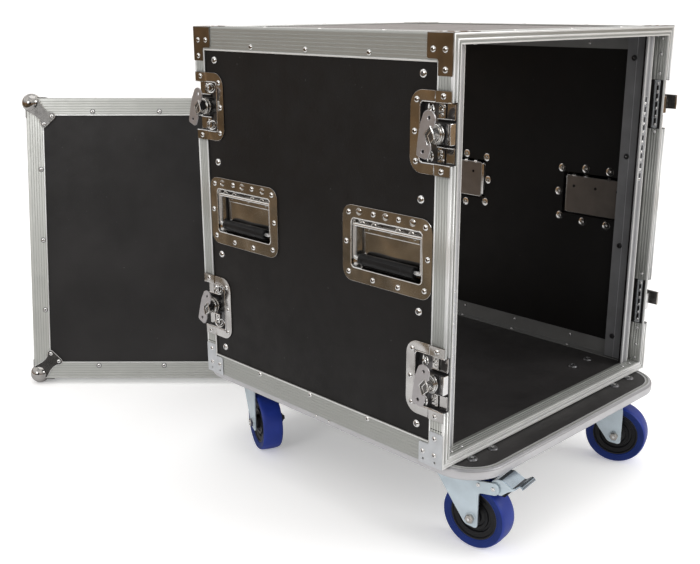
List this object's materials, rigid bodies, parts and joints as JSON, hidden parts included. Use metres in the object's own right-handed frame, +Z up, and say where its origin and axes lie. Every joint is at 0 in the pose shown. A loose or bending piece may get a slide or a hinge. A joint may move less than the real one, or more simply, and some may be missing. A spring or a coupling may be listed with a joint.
{
  "type": "rack case",
  "caption": "Wheeled 19-inch rack case: black panels in an aluminium frame, recessed latches and handles, rack rails, a castor board, and one lid taken off.",
  "frame": {"origin": "on the floor, under the middle of the whole object's bounding box, the lid that stands behind it included", "axes": "+Z up; the case's open front and its braked castor end face -Y; +X is to the right of a person who looks into the open front"},
  "size_m": [0.6462, 1.216, 0.7142],
  "materials": {
    "black_laminate": "black phenolic-faced plywood, fine orange-peel grain, satin",
    "ribbed_aluminium": "extruded aluminium, fine lengthwise ribs, satin",
    "bright_chrome": "bright plated steel",
    "rail_aluminium": "dark grey extruded aluminium",
    "black_rubber": "matt black rubber",
    "zinc_plate": "bright zinc plate with a blue tint",
    "blue_tyre": "matt dark blue rubber on a black hub"
  },
  "bodies": {
    "case": {"board_trim": "ribbed_aluminium", "bottom_panel": "black_laminate", "castor_board": "black_laminate", "front_frame": "ribbed_aluminium", "front_left_castor_plate": "zinc_plate", "front_left_handle_dish": "bright_chrome", "front_left_rack_rail": "rail_aluminium", "front_lower_left_latch_dish": "bright_chrome", "front_lower_right_latch_dish": "bright_chrome", "front_right_castor_plate": "zinc_plate", "front_right_handle_dish": "bright_chrome", "front_right_rack_rail": "rail_aluminium", "front_upper_left_latch_dish": "bright_chrome", "front_upper_right_latch_dish": "bright_chrome", "left_panel": "black_laminate", "lower_left_edge": "ribbed_aluminium", "lower_right_edge": "ribbed_aluminium", "rear_frame": "ribbed_aluminium", "rear_left_castor_plate": "zinc_plate", "rear_left_handle_dish": "bright_chrome", "rear_left_rack_rail": "rail_aluminium", "rear_lower_left_latch_dish": "bright_chrome", "rear_lower_right_latch_dish": "bright_chrome", "rear_right_castor_plate": "zinc_plate", "rear_right_handle_dish": "bright_chrome", "rear_right_rack_rail": "rail_aluminium", "rear_upper_left_latch_dish": "bright_chrome", "rear_upper_right_latch_dish": "bright_chrome", "right_panel": "black_laminate", "top_panel": "black_laminate", "upper_left_edge": "ribbed_aluminium", "upper_right_edge": "ribbed_aluminium"},
    "front_left_handle": {"front_left_handle_bail": "bright_chrome", "front_left_handle_grip": "black_rubber"},
    "front_right_handle": {"front_right_handle_bail": "bright_chrome", "front_right_handle_grip": "black_rubber"},
    "rear_left_handle": {"rear_left_handle_bail": "bright_chrome", "rear_left_handle_grip": "black_rubber"},
    "rear_right_handle": {"rear_right_handle_bail": "bright_chrome", "rear_right_handle_grip": "black_rubber"},
    "front_upper_left_wing": {"front_upper_left_latch_wing": "bright_chrome"},
    "front_upper_right_wing": {"front_upper_right_latch_wing": "bright_chrome"},
    "front_lower_left_wing": {"front_lower_left_latch_wing": "bright_chrome"},
    "front_lower_right_wing": {"front_lower_right_latch_wing": "bright_chrome"},
    "rear_upper_left_wing": {"rear_upper_left_latch_wing": "bright_chrome"},
    "rear_upper_right_wing": {"rear_upper_right_latch_wing": "bright_chrome"},
    "rear_lower_left_wing": {"rear_lower_left_latch_wing": "bright_chrome"},
    "rear_lower_right_wing": {"rear_lower_right_latch_wing": "bright_chrome"},
    "front_left_castor": {"front_left_castor_fork": "zinc_plate"},
    "front_left_wheel": {"front_left_castor_wheel": "blue_tyre"},
    "front_left_brake": {"front_left_brake_pedal": "zinc_plate"},
    "front_right_castor": {"front_right_castor_fork": "zinc_plate"},
    "front_right_wheel": {"front_right_castor_wheel": "blue_tyre"},
    "rear_left_castor": {"rear_left_castor_fork": "zinc_plate"},
    "rear_left_wheel": {"rear_left_castor_wheel": "blue_tyre"},
    "rear_right_castor": {"rear_right_castor_fork": "zinc_plate"},
    "rear_right_wheel": {"rear_right_castor_wheel": "blue_tyre"},
    "rear_right_brake": {"rear_right_brake_pedal": "zinc_plate"},
    "lid": {"lid_panel": "black_laminate", "lid_frame": "ribbed_aluminium"}
  },
  "joints": [
    {"name": "front_left_handle_swing", "type": "hinge", "parent": "case", "child": "front_left_handle", "pos_m": [-0.22748, -0.41285, 0.4559], "axis": [0, 1, 0], "range_deg": [0, 90], "stiffness_Nm_per_rad": 0.6, "springref_deg": -20.05},
    {"name": "front_right_handle_swing", "type": "hinge", "parent": "case", "child": "front_right_handle", "pos_m": [0.29712, -0.41285, 0.4559], "axis": [0, -1, 0], "range_deg": [0, 90], "stiffness_Nm_per_rad": 0.6, "springref_deg": -20.05},
    {"name": "rear_left_handle_swing", "type": "hinge", "parent": "case", "child": "rear_left_handle", "pos_m": [-0.22748, -0.10885, 0.4559], "axis": [0, 1, 0], "range_deg": [0, 90], "stiffness_Nm_per_rad": 0.6, "springref_deg": -20.05},
    {"name": "rear_right_handle_swing", "type": "hinge", "parent": "case", "child": "rear_right_handle", "pos_m": [0.29712, -0.10885, 0.4559], "axis": [0, -1, 0], "range_deg": [0, 90], "stiffness_Nm_per_rad": 0.6, "springref_deg": -20.05},
    {"name": "front_upper_left_latch_turn", "type": "hinge", "parent": "case", "child": "front_upper_left_wing", "pos_m": [-0.23168, -0.49785, 0.5927], "axis": [-1, 0, 0], "range_deg": [0, 180]},
    {"name": "front_upper_right_latch_turn", "type": "hinge", "parent": "case", "child": "front_upper_right_wing", "pos_m": [0.30132, -0.49785, 0.5927], "axis": [1, 0, 0], "range_deg": [0, 180]},
    {"name": "front_lower_left_latch_turn", "type": "hinge", "parent": "case", "child": "front_lower_left_wing", "pos_m": [-0.23168, -0.49785, 0.2657], "axis": [-1, 0, 0], "range_deg": [0, 180]},
    {"name": "front_lower_right_latch_turn", "type": "hinge", "parent": "case", "child": "front_lower_right_wing", "pos_m": [0.30132, -0.49785, 0.2657], "axis": [1, 0, 0], "range_deg": [0, 180]},
    {"name": "rear_upper_left_latch_turn", "type": "hinge", "parent": "case", "child": "rear_upper_left_wing", "pos_m": [-0.23168, -0.02385, 0.5927], "axis": [-1, 0, 0], "range_deg": [0, 180]},
    {"name": "rear_upper_right_latch_turn", "type": "hinge", "parent": "case", "child": "rear_upper_right_wing", "pos_m": [0.30132, -0.02385, 0.5927], "axis": [1, 0, 0], "range_deg": [0, 180]},
    {"name": "rear_lower_left_latch_turn", "type": "hinge", "parent": "case", "child": "rear_lower_left_wing", "pos_m": [-0.23168, -0.02385, 0.2657], "axis": [-1, 0, 0], "range_deg": [0, 180]},
    {"name": "rear_lower_right_latch_turn", "type": "hinge", "parent": "case", "child": "rear_lower_right_wing", "pos_m": [0.30132, -0.02385, 0.2657], "axis": [1, 0, 0], "range_deg": [0, 180]},
    {"name": "front_left_castor_swivel", "type": "hinge", "parent": "case", "child": "front_left_castor", "pos_m": [-0.15118, -0.48685, 0], "axis": [0, 0, 1], "continuous": true},
    {"name": "front_left_wheel_roll", "type": "hinge", "parent": "front_left_castor", "child": "front_left_wheel", "pos_m": [-0.14663, -0.52054, 0.05], "axis": [0.991, 0.134, 0], "continuous": true},
    {"name": "front_left_brake_press", "type": "hinge", "parent": "front_left_castor", "child": "front_left_brake", "pos_m": [-0.14214, -0.55374, 0.106], "axis": [0.991, 0.134, 0], "range_deg": [0, 15]},
    {"name": "front_right_castor_swivel", "type": "hinge", "parent": "case", "child": "front_right_castor", "pos_m": [0.22082, -0.48685, 0], "axis": [0, 0, 1], "continuous": true},
    {"name": "front_right_wheel_roll", "type": "hinge", "parent": "front_right_castor", "child": "front_right_wheel", "pos_m": [0.23245, -0.5188, 0.05], "axis": [0.9397, 0.342, 0], "continuous": true},
    {"name": "rear_left_castor_swivel", "type": "hinge", "parent": "case", "child": "rear_left_castor", "pos_m": [-0.15118, -0.03485, 0], "axis": [0, 0, 1], "continuous": true},
    {"name": "rear_left_wheel_roll", "type": "hinge", "parent": "rear_left_castor", "child": "rear_left_wheel", "pos_m": [-0.16436, -0.06619, 0.05], "axis": [0.9219, -0.3875, 0], "continuous": true},
    {"name": "rear_right_castor_swivel", "type": "hinge", "parent": "case", "child": "rear_right_castor", "pos_m": [0.22082, -0.03485, 0], "axis": [0, 0, 1], "continuous": true},
    {"name": "rear_right_wheel_roll", "type": "hinge", "parent": "rear_right_castor", "child": "rear_right_wheel", "pos_m": [0.22789, -0.0681, 0.05], "axis": [0.9781, 0.2079, 0], "continuous": true},
    {"name": "rear_right_brake_press", "type": "hinge", "parent": "rear_right_castor", "child": "rear_right_brake", "pos_m": [0.23485, -0.10087, 0.106], "axis": [0.9781, 0.2079, 0], "range_deg": [0, 15]},
    {"name": "lid_lift", "type": "slide", "parent": "case", "child": "lid", "axis": [0, 0, 1], "range_m": [0, 0.4]}
  ]
}
